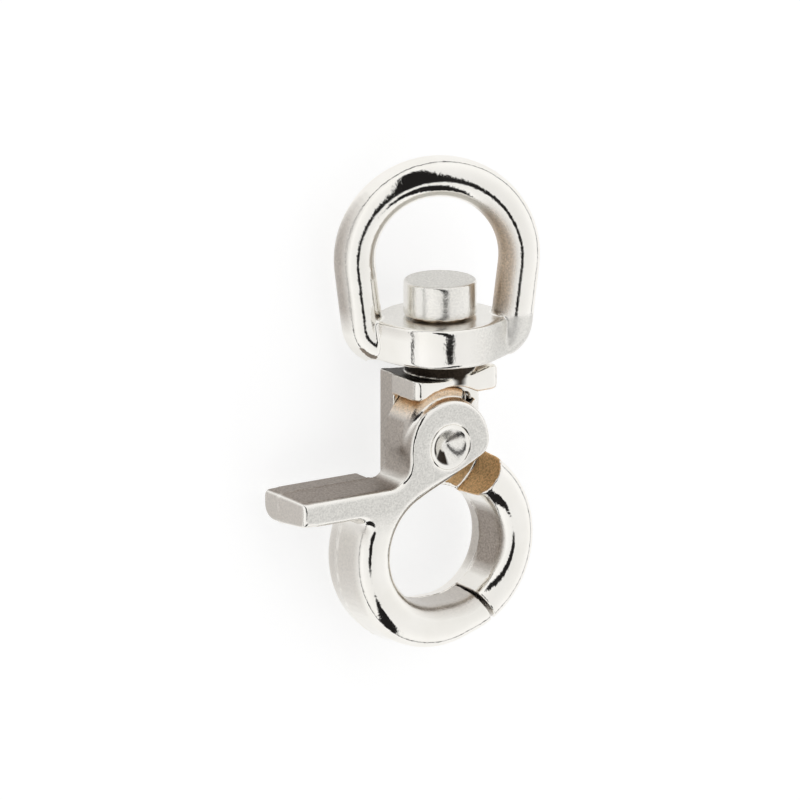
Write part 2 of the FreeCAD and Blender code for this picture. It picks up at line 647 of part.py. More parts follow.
# The spring's stop, a post on the back plate.
def spring_tooth():
    outside = size("spring_sweep") + size("spring_radius") / 2
    start, end = size("spring_stop") - size("tooth_angle"), size("spring_stop")
    return extrude("spring_tooth", ring_sector("tooth_sketch", coil_floor(), outside, start, end),
                   f"{BODY_LEVEL} - Sizes.cut_margin", "Sizes.spring_level + Sizes.spring_radius")


# Pivot rivet, fixed in the body, with a dished end at the front and at the back.
def make_rivet():
    x, y = "Sizes.pivot_x", "Sizes.pivot_y"
    pin = round_block("rivet_pin", x, y, "Sizes.rivet_radius",
                      f"{BACK} + Sizes.rivet_sink", f"{FRONT} - Sizes.rivet_sink")
    dish_rim, depth = 0.9 * size("rivet_radius"), size("dimple_depth")
    dishes = [ball_over(name, dish_rim, depth, size(face) - size("rivet_sink"), sign)
              for name, sign, face in (("dish_front", 1, "front_face"), ("dish_back", -1, "back_face"))]
    return cut("pivot_rivet", pin, fuse("dishes", dishes))


# Closing spring: a wire helix along the chord between the groove's wall and the tooth.
def make_spring():
    ease = math.degrees(math.asin(size("spring_radius") / size("spring_sweep"))) / 2
    start = polar(PIVOT, size("spring_sweep"), size("spring_start") - ease)
    end = polar(PIVOT, size("spring_sweep"), size("spring_stop") + ease)
    length = math.hypot(end[0] - start[0], end[1] - start[1]) - 2 * size("wire_radius")
    mean = size("spring_radius") - size("wire_radius")
    helix = Part.makeHelix(length / size("spring_turns"), length, mean)
    ring = Part.Wire(Part.makeCircle(size("wire_radius"), Vector(mean, 0, 0), Vector(0, 1, 0)))
    coil = Part.Wire(helix.Edges).makePipeShell([ring], True, True)
    along = Vector(end[0] - start[0], end[1] - start[1], 0)
    along.normalize()
    base = Vector(*start, size("spring_level")) + along * size("wire_radius")
    coil.Placement = Placement(base, Rotation(Vector(0, 0, 1), along))
    spring = doc.addObject("Part::Feature", "closing_spring")
    spring.Shape = coil
    return spring


PARTS = {
    "swivel_eye": make_swivel_eye(),
    "body": make_body(),
    "lever": make_lever(),
    "pivot_rivet": make_rivet(),
    "closing_spring": make_spring(),
}
doc.recompute()

# The snap rests on its back: on the hub's lower rim and on the left of the jaw's back edge.
turn = Rotation(Vector(0, 1, 0), -size("swivel_angle"))
lie = Rotation(Vector(0, 1, 0), -size("rest_roll")) * Rotation(Vector(1, 0, 0), size("rest_pitch"))
whole = FreeCAD.BoundBox()
for name, item in PARTS.items():
    item.Label = name
    spin = turn if name == "swivel_eye" else Rotation()
    item.Placement = Placement(Vector(), lie * spin) * item.Placement
    whole.add(item.Shape.optimalBoundingBox())
shift = Vector(-whole.Center.x, -whole.Center.y, -whole.ZMin)
for item in PARTS.values():
    item.Placement = Placement(shift, Rotation()) * item.Placement
doc.recompute()

for item in doc.Objects:
    if "Invalid" in item.State or "Error" in item.State:
        raise RuntimeError(f"{item.Name} failed: {item.State}")
for name, item in PARTS.items():
    if item.Shape.isNull() or not item.Shape.isValid() or len(item.Shape.Solids) != 1:
        raise RuntimeError(f"{name} is not one valid solid")

os.makedirs("parts", exist_ok=True)
for name, item in PARTS.items():
    item.Shape.exportStep(f"parts/{name}.step")
    print(name, "volume", round(item.Shape.Volume, 1), "mm3")
print("placement of the body", PARTS["body"].Placement)
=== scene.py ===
# %% [markdown]
# # A plated swivel lever snap
#
# The snap is five pieces: an eye that turns on a headed stem, the body with one claw, the
# lever with the other claw, a rivet and a small coil spring. The construction comes from the
# frame, at its real size. Here every piece gets the soft edges of a die casting, its parting
# ridges and its bright nickel plate, in a white studio.

# %% Load the frame
import bpy
import bmesh
import json
import math
from mathutils import Matrix, Vector, noise


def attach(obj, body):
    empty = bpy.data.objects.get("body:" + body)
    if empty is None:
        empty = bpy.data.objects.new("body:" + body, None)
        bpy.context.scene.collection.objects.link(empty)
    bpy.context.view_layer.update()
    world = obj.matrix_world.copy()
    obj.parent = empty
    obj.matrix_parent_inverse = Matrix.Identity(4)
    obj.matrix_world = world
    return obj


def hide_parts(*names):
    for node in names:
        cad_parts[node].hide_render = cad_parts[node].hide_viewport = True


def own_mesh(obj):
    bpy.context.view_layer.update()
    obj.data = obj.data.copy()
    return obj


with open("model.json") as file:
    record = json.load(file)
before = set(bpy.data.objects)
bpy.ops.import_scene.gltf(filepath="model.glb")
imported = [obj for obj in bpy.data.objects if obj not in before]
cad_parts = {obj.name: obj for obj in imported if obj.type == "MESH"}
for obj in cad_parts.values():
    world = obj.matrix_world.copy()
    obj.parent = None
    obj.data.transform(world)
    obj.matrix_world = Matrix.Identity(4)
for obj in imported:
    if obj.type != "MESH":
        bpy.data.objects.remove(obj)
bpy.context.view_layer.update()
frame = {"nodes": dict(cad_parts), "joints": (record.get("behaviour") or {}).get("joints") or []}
MM = 0.001
print("nodes:", sorted(frame["nodes"]))

# %% [markdown]
# ## The drawing's own axes
#
# The snap lies on its back, a few degrees out of level, because the eye's hub is thicker than
# the jaw. Its castings are easier to think about in the flat: x to the right, y along the
# stem towards the eye, z out of the front. The frame's two joints give those axes: the eye
# turns about y, and the lever opens about -z. `draw` takes a point of the flat drawing, in
# millimetres, to its place in the frame, and `flat` takes it back.

# %% Axes from the joints
joints = {joint["name"]: joint for joint in frame["joints"]}
UP_STEM = Vector(joints["eye_swivel"]["axis"]).normalized()
OUT = -Vector(joints["lever_pivot"]["axis"]).normalized()
ACROSS = UP_STEM.cross(OUT)
HUB_HEIGHT = 4.6
ORIGIN = Vector(joints["eye_swivel"]["pos_m"]) - UP_STEM * HUB_HEIGHT / 2 * MM
LIE = Matrix((ACROSS, UP_STEM, OUT)).transposed()
FLATTEN = LIE.transposed()


def draw(x, y, z=0.0):
    return ORIGIN + LIE @ Vector((x, y, z)) * MM


def flat(point):
    return FLATTEN @ (Vector(point) - ORIGIN) / MM


PIVOT = flat(joints["lever_pivot"]["pos_m"])
print("pivot in the drawing", [round(c, 2) for c in PIVOT])

# %% [markdown]
# ## Helpers for objects and nodes
#
# Every object is made of its data and then linked to the scene. Materials and the world are
# small networks. `node` adds one node, sets its options and inputs by name and returns it, so
# that a network reads from top to bottom. The other helpers are the kinds that come often.


# %% Object helpers
def new_object(name, data):
    made = bpy.data.objects.new(name, data)
    bpy.context.scene.collection.objects.link(made)
    return made


def mesh_object(name, mesh):
    data = bpy.data.meshes.new(name)
    mesh.to_mesh(data)
    mesh.free()
    return new_object(name, data)


# %% Node helpers
def node(tree, kind, inputs=None, **options):
    made = tree.nodes.new("ShaderNode" + kind)
    for name, value in options.items():
        setattr(made, name, value)
    for name, value in (inputs or {}).items():
        socket = made.inputs[name]
        if isinstance(value, bpy.types.NodeSocket):
            tree.links.new(value, socket)
        else:
            socket.default_value = value
    return made


def maths(tree, operation, first, second):
    return node(tree, "Math", {0: first, 1: second}, operation=operation).outputs[0]


def dotted(tree, first, second):
    return node(tree, "VectorMath", {0: first, 1: second},
                operation="DOT_PRODUCT").outputs["Value"]


def mixed(tree, factor, first, second, kind="RGBA"):
    return node(tree, "Mix", {"Factor": factor, "A": first, "B": second},
                data_type=kind).outputs["Result"]


def grey(value):
    return (value, value, value, 1)


def ramp(tree, fac, stops):
    made = node(tree, "ValToRGB", {"Fac": fac})
    while len(made.color_ramp.elements) < len(stops):
        made.color_ramp.elements.new(0.5)
    for element, (place, colour) in zip(made.color_ramp.elements, stops):
        element.position = place
        element.color = (*colour, 1) if isinstance(colour, tuple) else grey(colour)
    return made.outputs["Color"]


# %% [markdown]
# ## The camera
#
# The photograph looks at the snap from 34 degrees to its left and 15 degrees over its
# middle plane. A camera with perspective would need its distance too. It stood far away, so
# an orthographic camera gives the same outlines with one value less to find. One millimetre
# of the snap covers 8.86 pixels of the 800 pixel picture.

# %% Camera
VIEW_LEFT, VIEW_ABOVE = math.radians(34), math.radians(15)
PIXELS, PIXELS_PER_MM = 800, 8.86
HUB_PIXEL = (440.0, 354.2)
CAMERA_DISTANCE = 0.3

toward = Vector((-math.sin(VIEW_LEFT) * math.cos(VIEW_ABOVE), math.sin(VIEW_ABOVE),
                 math.cos(VIEW_LEFT) * math.cos(VIEW_ABOVE)))
right = Vector((math.cos(VIEW_LEFT), 0, math.sin(VIEW_LEFT)))
above = toward.cross(right)
off_centre = right * (PIXELS / 2 - HUB_PIXEL[0]) - above * (PIXELS / 2 - HUB_PIXEL[1])
aim = off_centre / PIXELS_PER_MM

camera = new_object("camera", bpy.data.cameras.new("camera"))
camera.data.type = "ORTHO"
camera.data.ortho_scale = PIXELS / PIXELS_PER_MM * MM
camera.location = draw(*aim) + LIE @ toward * CAMERA_DISTANCE
axes = Matrix((LIE @ right, LIE @ above, LIE @ toward)).transposed()
camera.rotation_euler = axes.to_euler()
bpy.context.scene.camera = camera
print("camera at", [round(c, 3) for c in camera.location])

# %% [markdown]
# ## The light
#
# Bright metal shows only what stands around it. The snap was shot on a white table in a
# white tent, and the black strokes on it are what the tent leaves open: the dark gap over
# the table's edge all around, the hole overhead that the camera looks through, and a second
# hole low in front.
#
# Area lamps would show as plain squares in the plate, and real tent walls would stand in the
# way of other views. So the world holds the tent as a function of direction. `opening` gives
# 0 inside a hole and 1 outside it. The hole is an oval, squared off a little, about a centre
# that is given as the camera sees it. The camera itself sees plain white.

# %% World: an opening
DARK = (0.015, 0.014, 0.014, 1)
SQUARENESS = 1.6
HOLE_EDGE = (0.8, 1.15)

world = bpy.data.worlds.new("tent")
bpy.context.scene.world = world
world.use_nodes = True
sky = world.node_tree
sky.nodes.clear()
ray = node(sky, "TexCoord").outputs["Generated"]


def in_view(x, y, z):
    return (LIE @ (right * x + above * y + toward * z)).normalized()


def opening(centre, direction, half_length, half_width):
    hole, along = in_view(*centre), in_view(*direction)
    along = (along - hole * along.dot(hole)).normalized()
    reach = []
    for axis, half in ((along, half_length), (hole.cross(along), half_width)):
        square = maths(sky, "POWER", dotted(sky, ray, axis / half), 2.0)
        reach.append(maths(sky, "POWER", square, SQUARENESS))
    behind = maths(sky, "LESS_THAN", dotted(sky, ray, hole), 0.0)
    outside = maths(sky, "ADD", maths(sky, "ADD", *reach), behind)
    return node(sky, "MapRange", {"Value": outside, "From Min": HOLE_EDGE[0],
                                  "From Max": HOLE_EDGE[1]}).outputs["Result"]


# %% World: the tent
TENT = 1.08
SIDES = [(0.0, 0.02), (0.05, 0.02), (0.075, 0.9), (0.3, 1.0), (1.0, 0.85)]

overhead = opening((0.12, 0.10, 0.98), (-0.36, 0.93, 0.0), 0.68, 0.18)
in_front = opening((0.20, -0.95, 0.24), (0.52, 0.23, 0.60), 0.48, 0.20)
height = node(sky, "SeparateXYZ", {0: ray}).outputs["Z"]
tent = mixed(sky, maths(sky, "MINIMUM", overhead, in_front), DARK, ramp(sky, height, SIDES))
lit = node(sky, "Background", {"Color": tent, "Strength": TENT}).outputs[0]
white = node(sky, "Background", {"Color": grey(1.0), "Strength": 1.0}).outputs[0]
by_camera = node(sky, "LightPath").outputs["Is Camera Ray"]
chosen = node(sky, "MixShader", {0: by_camera, 1: lit, 2: white}).outputs[0]
node(sky, "OutputWorld", {"Surface": chosen})
print("tent strength", TENT)

# %% [markdown]
# ## The table
#
# One large white plane carries the snap and keeps its soft shadow. A white surface that is
# only lit would end a little grey, and a shadow catcher would leave the metal without a
# table to mirror. So where the camera or the metal sees the plane, it glows by itself and
# is lit only in part: it ends as nearly white as the background.

# %% Table
TABLE_HALF = 3.0
PAPER_TONE, SEEN_TONE, PAPER_LIFT = 0.93, 0.42, 0.68

mesh = bmesh.new()
bmesh.ops.create_grid(mesh, x_segments=1, y_segments=1, size=TABLE_HALF)
table = mesh_object("table", mesh)

paper = bpy.data.materials.new("white_paper")
paper.use_nodes = True
tree = paper.node_tree
tree.nodes.clear()
rays = node(tree, "LightPath")
seen = maths(tree, "MAXIMUM", rays.outputs["Is Camera Ray"], rays.outputs["Is Glossy Ray"])
tone = mixed(tree, seen, grey(PAPER_TONE), grey(SEEN_TONE))
matt = node(tree, "BsdfDiffuse", {"Color": tone}).outputs[0]
lift = maths(tree, "MULTIPLY", seen, PAPER_LIFT)
glow = node(tree, "Emission", {"Color": grey(1.0), "Strength": lift}).outputs[0]
both = node(tree, "AddShader", {0: matt, 1: glow}).outputs[0]
node(tree, "OutputMaterial", {"Surface": both})
table.data.materials.append(paper)
print("table", 2 * TABLE_HALF, "m wide")

# %% [markdown]
# ## Nickel plate
#
# All the castings wear one bright nickel plate. Where the die was polished it is a mirror
# with a slight ripple. Elsewhere each casting carries four numbers on its surface: `grain`
# where the plate lies on a sparked die face and scatters, `dusk`, a brown-grey shade
# painted on the duller side walls, mostly those that face left, `gold`, a golden light
# painted in the pockets, where the light goes from nickel to nickel, and `shade`, dark
# shade and dark reflection painted in the deepest gaps.
#
# A material for each zone would end at a hard line. Numbers on the points blend, and one
# material reads them all. Each number has a colour, and its specks are a share darker.

# %% Plate colours and scales
SATIN = (0.80, 0.785, 0.745)
# DUSK is painted shade, the gold colour is painted golden light, BROWN_BLACK is painted dark
# shade
DUSK = (0.40, 0.345, 0.30)
GOLDEN_LIGHT = (0.92, 0.60, 0.30)
BROWN_BLACK = (0.04, 0.03, 0.022)
NICKEL, PALE_NICKEL = (0.87, 0.85, 0.80), (0.91, 0.89, 0.85)
ZONES = {"grain": (SATIN, 0.78), "dusk": (DUSK, 0.60), "gold": (GOLDEN_LIGHT, 0.50),
         "shade": (BROWN_BLACK, 0.50)}
SPECK_SCALE, RIPPLE_SCALE, CLOUD_SCALE = 4200.0, 850.0, 260.0
MIRROR_ROUGHNESS, CLOUDED_ROUGHNESS, DULL_ROUGHNESS = 0.04, 0.09, 0.45
BUMP_DEPTH = 0.00005
MIRROR_SPECKS, DULL_SPECKS, RIPPLE_STRENGTH = 0.09, 0.65, 0.60


# %% Plate material
def noisy(tree, place, scale, **more):
    return node(tree, "TexNoise", {"Vector": place, "Scale": scale, **more}).outputs["Fac"]


def plate_material(name):
    made = bpy.data.materials.new(name)
    made.use_nodes = True
    tree = made.node_tree
    shader = tree.nodes["Principled BSDF"]
    place = node(tree, "TexCoord").outputs["Object"]
    specks = noisy(tree, place, SPECK_SCALE, Detail=3.0, Roughness=0.65)
    ripple = noisy(tree, place, RIPPLE_SCALE, Detail=3.0, Roughness=0.6)
    cloud = noisy(tree, place, CLOUD_SCALE, Detail=2.0)
    tone = ramp(tree, cloud, [(0.3, NICKEL), (0.7, PALE_NICKEL)])
    dull = 0.0
    for key, (colour, dark) in ZONES.items():
        amount = node(tree, "Attribute", attribute_name=key).outputs["Fac"]
        speck = tuple(channel * dark for channel in colour)
        tone = mixed(tree, amount, tone, ramp(tree, specks, [(0.36, speck), (0.64, colour)]))
        dull = maths(tree, "MAXIMUM", dull, amount)
    patch = node(tree, "MapRange", {"Value": cloud, "From Min": 0.35, "From Max": 0.65,
                                    "To Min": MIRROR_ROUGHNESS,
                                    "To Max": CLOUDED_ROUGHNESS}).outputs["Result"]
    depth = mixed(tree, dull, MIRROR_SPECKS, DULL_SPECKS, "FLOAT")
    fine = node(tree, "Bump", {"Height": specks, "Distance": BUMP_DEPTH, "Strength": depth})
    soft = node(tree, "Bump", {"Height": ripple, "Distance": BUMP_DEPTH,
                               "Strength": RIPPLE_STRENGTH, "Normal": fine.outputs["Normal"]})
    tree.links.new(tone, shader.inputs["Base Color"])
    tree.links.new(mixed(tree, dull, patch, DULL_ROUGHNESS, "FLOAT"), shader.inputs["Roughness"])
    tree.links.new(soft.outputs["Normal"], shader.inputs["Normal"])
    shader.inputs["Metallic"].default_value = 1.0
    return made


plate = plate_material("nickel_plate")
print("plate of", len(plate.node_tree.nodes), "nodes")

# %% [markdown]
# ## Soft castings
#
# A die casting has no sharp edge and no sharp inside corner: the metal flows round them. A
# bevel would soften the edges and leave the corners, and on a mesh of so many small faces
# it makes creases, which a mirror shows at once. So a closed copy of the construction is
# built again from small voxels, about a seventh of a millimetre, and smoothed a little.
# That rounds edges and corners alike.

# %% Voxel casting
VOXEL = 0.148 * MM
FLOW_PASSES = 6


def plated(piece):
    piece.data.shade_smooth()
    piece.data.materials.clear()
    piece.data.materials.append(plate)


def soft_casting(name, source):
    mesh = bmesh.new()
    mesh.from_mesh(frame["nodes"][source].data)
    bmesh.ops.remove_doubles(mesh, verts=mesh.verts, dist=1e-7)
    bmesh.ops.recalc_face_normals(mesh, faces=mesh.faces)
    piece = mesh_object(name, mesh)
    remesh = piece.modifiers.new("voxels", "REMESH")
    remesh.mode = "VOXEL"
    remesh.voxel_size = VOXEL
    smooth = piece.modifiers.new("flow", "SMOOTH")
    smooth.factor = 0.5
    smooth.iterations = FLOW_PASSES
    bpy.context.view_layer.update()
    evaluated = piece.evaluated_get(bpy.context.evaluated_depsgraph_get())
    made = bpy.data.meshes.new_from_object(evaluated)
    piece.modifiers.clear()
    piece.data = made
    made.name = name
    plated(piece)
    print(name, "faces", len(made.polygons))
    return piece


# %% [markdown]
# ## Softer places
#
# The end of the thumb piece and the edge of the boss's crown are rounder still. They could
# be sculpted, but strokes of a brush can't be written down as a rule. `soften` smooths only
# the points that a test picks, as often as it is told.


# %% Local smoothing
def soften(piece, where, passes):
    mesh = bmesh.new()
    mesh.from_mesh(piece.data)
    picked = [vertex for vertex in mesh.verts if where(flat(vertex.co))]
    for _ in range(passes):
        bmesh.ops.smooth_vert(mesh, verts=picked, factor=0.5, use_axis_x=True, use_axis_y=True,
                              use_axis_z=True)
    mesh.to_mesh(piece.data)
    mesh.free()


# %% [markdown]
# ## Ridges
#
# The two halves of the die leave a fine raised line where they meet. A bump texture would
# shade it, but it also breaks the outline, so `ridge` lifts the points of the side walls
# near the parting plane, more in one place and less in another.

# %% Parting ridges
PARTING = -0.9
RIDGE_HEIGHT, RIDGE_WIDTH = 0.16, 0.17


def ridge(piece, where=lambda p, n: 1.0):
    moves = []
    for vertex in piece.data.vertices:
        p, n = flat(vertex.co), FLATTEN @ vertex.normal
        near = math.exp(-((p.z - PARTING) / RIDGE_WIDTH) ** 2)
        if near > 0.02 and abs(n.z) < 0.5:
            uneven = 0.7 + 0.5 * noise.noise(p * 1.3)
            lift = near * uneven * where(p, n) * RIDGE_HEIGHT * MM
            moves.append((vertex, vertex.normal * lift))
    for vertex, move in moves:
        vertex.co += move


# %% [markdown]
# ## Masks
#
# `paint` writes the plate's numbers at each point, from the point's place p and its normal n
# in the drawing. Painting by hand with a brush would do the same, but rules follow the shape
# when it changes. `ramped` rises from 0 to 1 between two levels, `between` is 1 inside a
# band with soft edges, and two more helpers give a point's distance and direction from the
# pivot. Their levels are millimetres of the drawing, degrees, or shares of a normal.


# %% Masks
def ramped(value, low, high):
    return min(max((value - low) / (high - low), 0.0), 1.0)


def between(value, low, high, edge):
    return ramped(value, low, low + edge) * ramped(high - value, 0.0, edge)


def from_pivot(p):
    return math.hypot(p.x - PIVOT.x, p.y - PIVOT.y)


def round_pivot(p):
    return math.degrees(math.atan2(p.y - PIVOT.y, p.x - PIVOT.x)) % 360


def paint(piece, **masks):
    for name, amount in masks.items():
        layer = piece.data.attributes.new(name, "FLOAT", "POINT")
        for vertex, value in zip(piece.data.vertices, layer.data):
            value.value = ramped(amount(flat(vertex.co), FLATTEN @ vertex.normal), 0.0, 1.0)
    print(piece.name, "carries", ", ".join(masks))


def finish(piece, body, source):
    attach(piece, body)
    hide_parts(source)


# %% [markdown]
# ## The swivel eye
#
# The eye is one casting: a hub ring that turns on the stem, and a bow of round rod for the
# strap. A curve with a round section and a turned ring would give the two shapes but not
# the flow between them, which the voxels make. Both are mirror bright. A grey-brown shade is
# painted on the bow's left flanks, a brown shade with a little painted golden light on the
# flank that looks into the eye from the right, and the right of the hub's front and its
# top are satin.


# %% Eye
def eye_grain(p, n):
    front = 0.75 * ramped(n.z, 0.5, 0.8) * ramped(p.x, -1.0, 2.0)
    front *= ramped(HUB_HEIGHT + 0.3 - p.y, 0.0, 0.5)
    top = 0.5 * ramped(n.y, 0.9, 1.0) * ramped(HUB_HEIGHT + 0.5 - p.y, 0.0, 0.5)
    return max(front, top)


# painted shade: brown-grey on the left flanks and the right leg's inner flank
def eye_dusk(p, n):
    left = ramped(-n.x, 0.75, 0.98)
    right_inner = ramped(-n.x, 0.5, 0.8) * ramped(p.x, 2.0, 4.0)
    return 0.75 * ramped(p.y, 3.0, 6.0) * max(left, right_inner)


# painted golden light on the right leg's inner flank
def eye_gold(p, n):
    return 0.3 * ramped(-n.x, 0.6, 0.9) * ramped(p.x, 2.0, 4.0) * ramped(p.y, 4.0, 7.0)


eye = soft_casting("plated_eye", "swivel_eye")
paint(eye, grain=eye_grain, dusk=eye_dusk, gold=eye_gold)
finish(eye, "eye", "swivel_eye")

# %% [markdown]
# ## The body
#
# The body is the long casting: the stem with its head, the collar, the neck, the roof over
# the lever and the right claw. Its head has a sparked end and duller sides, and a brown-grey
# shade is painted on its left walls. Golden light is painted on the claw's step, which is a
# cylinder about the pivot, on the roof's underside and in the middle of the hollow over the
# roof. The hollow's ends, the collar's wall and the wall behind the lever's boss carry
# painted dark shade.

# %% Body: painted gold and dusk
STEP_RADIUS = 7.8
ROOF_TOP, HOLLOW_FLOOR, HOLLOW_MIDDLE = -1.1, -3.0, 1.0


def in_hollow(p, n):
    inside = ramped(ROOF_TOP - p.y, 0.0, 0.2) * ramped(p.y, HOLLOW_FLOOR, HOLLOW_FLOOR + 0.4)
    return ramped(n.y, 0.6, 0.9) * inside * ramped(3.7 - p.z, 0.0, 0.4)


def hollow_ends(p):
    return ramped(abs(p.x - HOLLOW_MIDDLE), 2.0, 4.0)


# painted golden light on the claw's step, the roof's underside and the hollow's middle
def body_gold(p, n):
    step = 1.0 - ramped(abs(from_pivot(p) - STEP_RADIUS), 0.15, 0.45)
    step *= ramped(-p.y, 11.0, 12.0) * ramped(p.z, -1.2, -0.7) * ramped(0.6 - abs(n.z), 0.0, 0.2)
    roof = 0.6 * ramped(-n.y, 0.2, 0.5) * ramped(p.y, -6.0, -4.5) * ramped(p.z, -1.2, -0.8)
    hollow = 0.8 * in_hollow(p, n) * (1.0 - hollow_ends(p))
    return max(step, roof, hollow)


# painted brown-grey shade on the neck's left wall and the jaw's inside walls
def body_dusk(p, n):
    wall = ramped(-n.x, 0.75, 0.95)
    neck = 0.80 * wall * ramped(-p.y, 0.5, 1.0) * ramped(p.y, -15.0, -13.0)
    roof_end = 0.175 * wall * ramped(p.z, -1.0, -0.7) * ramped(p.y, -5.0, -4.5)
    jaw_inside = ramped(-n.x, 0.72, 0.9) * ramped(-p.y, 14.0, 16.0)
    return max(neck - roof_end, jaw_inside * (0.95 if p.z > PARTING else 0.65))


# %% Body: grain, shade and the piece
ROOF_SWEEP, COLLAR_RADIUS = 7.0, 4.2


def body_grain(p, n):
    return ramped(p.y, 4.6, 4.9) * (0.35 + 0.65 * ramped(n.y, 0.7, 0.95))


# painted dark shade in the hollow's ends, on the collar's wall and behind the lever's boss
def body_shade(p, n):
    hollow = in_hollow(p, n) * (0.55 + 0.45 * hollow_ends(p))
    collar = ramped(COLLAR_RADIUS - math.hypot(p.x, p.z), 0.0, 0.1) * ramped(0.1 - p.y, 0.0, 0.3)
    collar *= ramped(p.y, HOLLOW_FLOOR, HOLLOW_FLOOR + 0.4) * ramped(0.6 - abs(n.y), 0.0, 0.2)
    back = ramped(p.y, -9.0, -7.0) * ramped(ROOF_SWEEP + 0.1 - from_pivot(p), 0.0, 0.2)
    back *= ramped(0.2 - p.z, 0.0, 0.4) * ramped(p.z, -1.4, -1.1) * ramped(p.x, -1.0, 0.5)
    return max(hollow, collar, back)


body = soft_casting("plated_body", "body")
ridge(body, where=lambda p, n: ramped(-p.y, 14.0, 15.0))
paint(body, grain=body_grain, dusk=body_dusk, gold=body_gold, shade=body_shade)
finish(body, "snap_body", "body")

# %% [markdown]
# ## The lever
#
# The lever is the casting that the thumb works: a boss round the rivet, an arm, the thumb
# piece and the left claw. Its flat front is finely grained and its rounded edges are bright.
# A brown-grey shade is painted on its left walls, the thumb piece's top and end and the
# jaw's floor, and golden light is painted on the wall of its boss. The boss steps in behind
# its crown, and that ledge is painted like the wall below it.

# %% Lever: painted dusk and gold
THUMB_TOP = -13.3
CROWN_RADIUS = 5.7


def on_ledge(p):
    beside = ramped(from_pivot(p) - CROWN_RADIUS, 0.0, 0.15) * ramped(p.y, -10.5, -9.5)
    return beside * ramped(3.4 - p.z, 0.0, 0.15) * ramped(p.z, 2.2, 2.5)


# painted brown-grey shade on left walls, ledge, crown, thumb top and end, ring and jaw floor
def lever_dusk(p, n):
    left = 0.85 * ramped(-n.x, 0.6, 0.9) * ramped(-p.y, 5.0, 6.5)
    left *= ramped(p.y, -21.0, -19.0) * ramped(p.x, -13.0, -12.0)
    ledge = 0.7 * on_ledge(p) * ramped(-p.y, 5.0, 6.2)
    crown = 0.55 * ramped(p.y, -6.2, -5.0) * ramped(0.75 - abs(n.z), 0.0, 0.25)
    top = ramped(n.y, 0.7, 0.95) * ramped(-p.x, 7.0, 8.0)
    top *= ramped(p.y, THUMB_TOP - 1.0, THUMB_TOP - 0.5)
    end = 0.6 * ramped(-n.x, 0.8, 0.95) * ramped(-p.x, 20.0, 21.0)
    ring = 0.45 * ramped(-n.x, 0.80, 1.0) * ramped(-p.y, 17.0, 19.0)
    floor = 0.56 * ramped(n.y, 0.3, 0.8) * ramped(-p.y, 24.0, 26.0)
    floor *= ramped(12.0 - abs(p.x), 0.0, 3.0)
    return max(left, ledge, crown, top, end, ring, floor)


# painted golden light on the boss's wall and its ledge
def lever_gold(p, n):
    boss = ramped(0.75 - abs(n.z), 0.0, 0.25) * ramped(3.9 - p.z, 0.0, 0.5)
    return 0.65 * ramped(p.y, -6.2, -4.8) * max(boss, on_ledge(p))


# %% Lever: grain, soft places and the piece
THUMB_END, THUMB_PASSES = -19.6, 35
CROWN_PASSES = 45


def crown_side(p):
    way = round_pivot(p)
    lowest = -0.7 if way > 165 else 1.5
    return 103 < way < 205 and 5.4 < from_pivot(p) < 7.5 and lowest < p.z < 3.7


def lever_grain(p, n):
    return ramped(n.z, 0.93, 0.99) * ramped(p.y, -19.0, -16.0)


lever = soft_casting("plated_lever", "lever")
soften(lever, lambda p: p.x < THUMB_END, THUMB_PASSES)
soften(lever, crown_side, CROWN_PASSES)
ridge(lever)
paint(lever, grain=lever_grain, dusk=lever_dusk, gold=lever_gold)
finish(lever, "lever", "lever")

# %% [markdown]
# ## The spring
#
# The spring closes the jaw. A curve with a round bevel would give its coil, but a small
# circle that is spun about the coil's own axis and moved on a little at each step gives even
# faces in one call, and its ends can be closed. It runs along the same chord that the
# construction gives it, from the wall of the lever's groove to the body's tooth.

# %% Spring: its chord
SPRING_RADIUS, WIRE_RADIUS, TURNS = 0.7, 0.15, 6
SPRING_SWEEP, SPRING_LEVEL = 6.15, 1.7
SPRING_START, SPRING_STOP = 98.0, 47.0

ease = math.degrees(math.asin(SPRING_RADIUS / SPRING_SWEEP)) / 2


def about_pivot(radius, degrees, z):
    angle = math.radians(degrees)
    return Vector((PIVOT.x + radius * math.cos(angle), PIVOT.y + radius * math.sin(angle), z))


coil_start = about_pivot(SPRING_SWEEP, SPRING_START - ease, SPRING_LEVEL)
coil_end = about_pivot(SPRING_SWEEP, SPRING_STOP + ease, SPRING_LEVEL)
run = coil_end - coil_start
forward = run.normalized()
length = run.length - 2 * WIRE_RADIUS
print("coil length", round(length, 2), "mm")

# %% Spring: the coil
STEPS_PER_TURN, WIRE_SIDES = 28, 10

radial = Vector((0, 0, 1))
mean = SPRING_RADIUS - WIRE_RADIUS
climb = forward * length / (2 * math.pi * TURNS)
tangent = (climb + forward.cross(radial) * mean).normalized()
turned = Matrix((LIE @ radial, LIE @ tangent.cross(radial), LIE @ tangent)).transposed()
wire_start = coil_start + forward * WIRE_RADIUS + radial * mean
steps = TURNS * STEPS_PER_TURN

mesh = bmesh.new()
bmesh.ops.create_circle(mesh, segments=WIRE_SIDES, radius=WIRE_RADIUS * MM,
                        matrix=Matrix.Translation(draw(*wire_start)) @ turned.to_4x4())
bmesh.ops.spin(mesh, geom=mesh.verts[:] + mesh.edges[:], cent=draw(*coil_start),
               axis=LIE @ forward, dvec=LIE @ forward * (length * MM / steps),
               angle=2 * math.pi * TURNS, steps=steps)
ends = [edge for edge in mesh.edges if edge.is_boundary]
bmesh.ops.holes_fill(mesh, edges=ends, sides=WIRE_SIDES)
bmesh.ops.recalc_face_normals(mesh, faces=mesh.faces)
coil = mesh_object("steel_coil", mesh)
plated(coil)
paint(coil, grain=lambda p, n: 1.0)
finish(coil, "snap_body", "closing_spring")
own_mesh(coil)
print("coil faces", len(coil.data.polygons))
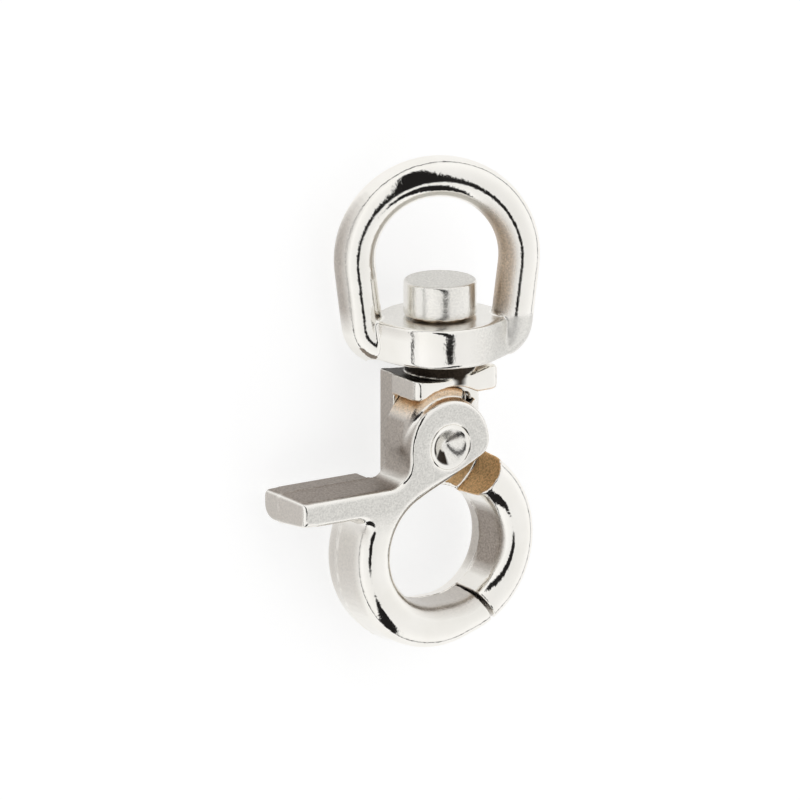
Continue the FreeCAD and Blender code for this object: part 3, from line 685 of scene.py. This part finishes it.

# %% [markdown]
# ## The rivet
#
# The rivet holds the lever to the body. Its front end is pressed out into the lever's
# countersink and runs up to its rim as one smooth bowl. A bowl could be cut with a boolean
# sphere, but that leaves a sharp rim, so its outline is drawn as a wave and spun about the
# pivot, like a piece on a lathe. On the left of the bowl a dark sliver and pool of painted
# reflection stand for dark surroundings, and on the right a grey streak of shade is painted.

# %% Rivet: the turned shape
RIVET_RADIUS, RIM_RADIUS, RIM_LEVEL, BOWL_DEPTH = 2.3, 2.6, 3.95, 1.4
BACK_RIM, BACK_LEVEL, BACK_DEPTH = 2.07, -3.85, 1.3
BOWL_STEPS, RIVET_SIDES = 24, 96


def bowl(radius, level, depth):
    steps = [step / BOWL_STEPS for step in range(BOWL_STEPS + 1)]
    return [(radius * t, level - depth * (1 + math.cos(math.pi * t)) / 2) for t in steps]


front = bowl(RIM_RADIUS, RIM_LEVEL, BOWL_DEPTH)
back = bowl(BACK_RIM, BACK_LEVEL, -BACK_DEPTH)
pin = [(RIVET_RADIUS, RIM_LEVEL - (RIM_RADIUS - RIVET_RADIUS)), (RIVET_RADIUS, BACK_LEVEL)]
mesh = bmesh.new()
points = [mesh.verts.new(draw(PIVOT.x + r, PIVOT.y, z)) for r, z in front + pin + back[::-1]]
for first, second in zip(points, points[1:]):
    mesh.edges.new((first, second))
bmesh.ops.spin(mesh, geom=mesh.verts[:] + mesh.edges[:], cent=draw(PIVOT.x, PIVOT.y), axis=OUT,
               angle=2 * math.pi, steps=RIVET_SIDES, use_merge=True)
bmesh.ops.remove_doubles(mesh, verts=mesh.verts, dist=1e-6)
bmesh.ops.recalc_face_normals(mesh, faces=mesh.faces)
rivet = mesh_object("plated_rivet", mesh)
plated(rivet)
print("rivet faces", len(rivet.data.polygons))


# %% Rivet: its plate
def rivet_grain(p, n):
    return 0.4 * ramped(RIVET_RADIUS - from_pivot(p), 0.0, 0.3)


# painted reflection: a dark sliver on the bowl's left and a dark pool at its lower left
def rivet_shade(p, n):
    way, reach = round_pivot(p), from_pivot(p)
    uneven = 0.25 * noise.noise(p * 2.5)
    sliver = between(way, 125, 212, 15) * between(reach, 1.70 + uneven, 2.15, 0.1)
    pool = between(way, 205, 268, 8) * between(reach, 0.7 + uneven, 2.15, 0.12)
    return max(sliver, pool)


# painted shade: a grey streak on the bowl's upper right
def rivet_dusk(p, n):
    return 0.6 * between(round_pivot(p), 15, 75, 20) * between(from_pivot(p), 0.4, 1.9, 0.3)


paint(rivet, grain=rivet_grain, shade=rivet_shade, dusk=rivet_dusk)
finish(rivet, "snap_body", "pivot_rivet")

# %% [markdown]
# ## Finish
#
# The Standard view transform leaves the colours as they were set. A filmic one would turn
# the white background grey.

# %% Finish
bpy.context.scene.view_settings.view_transform = "Standard"
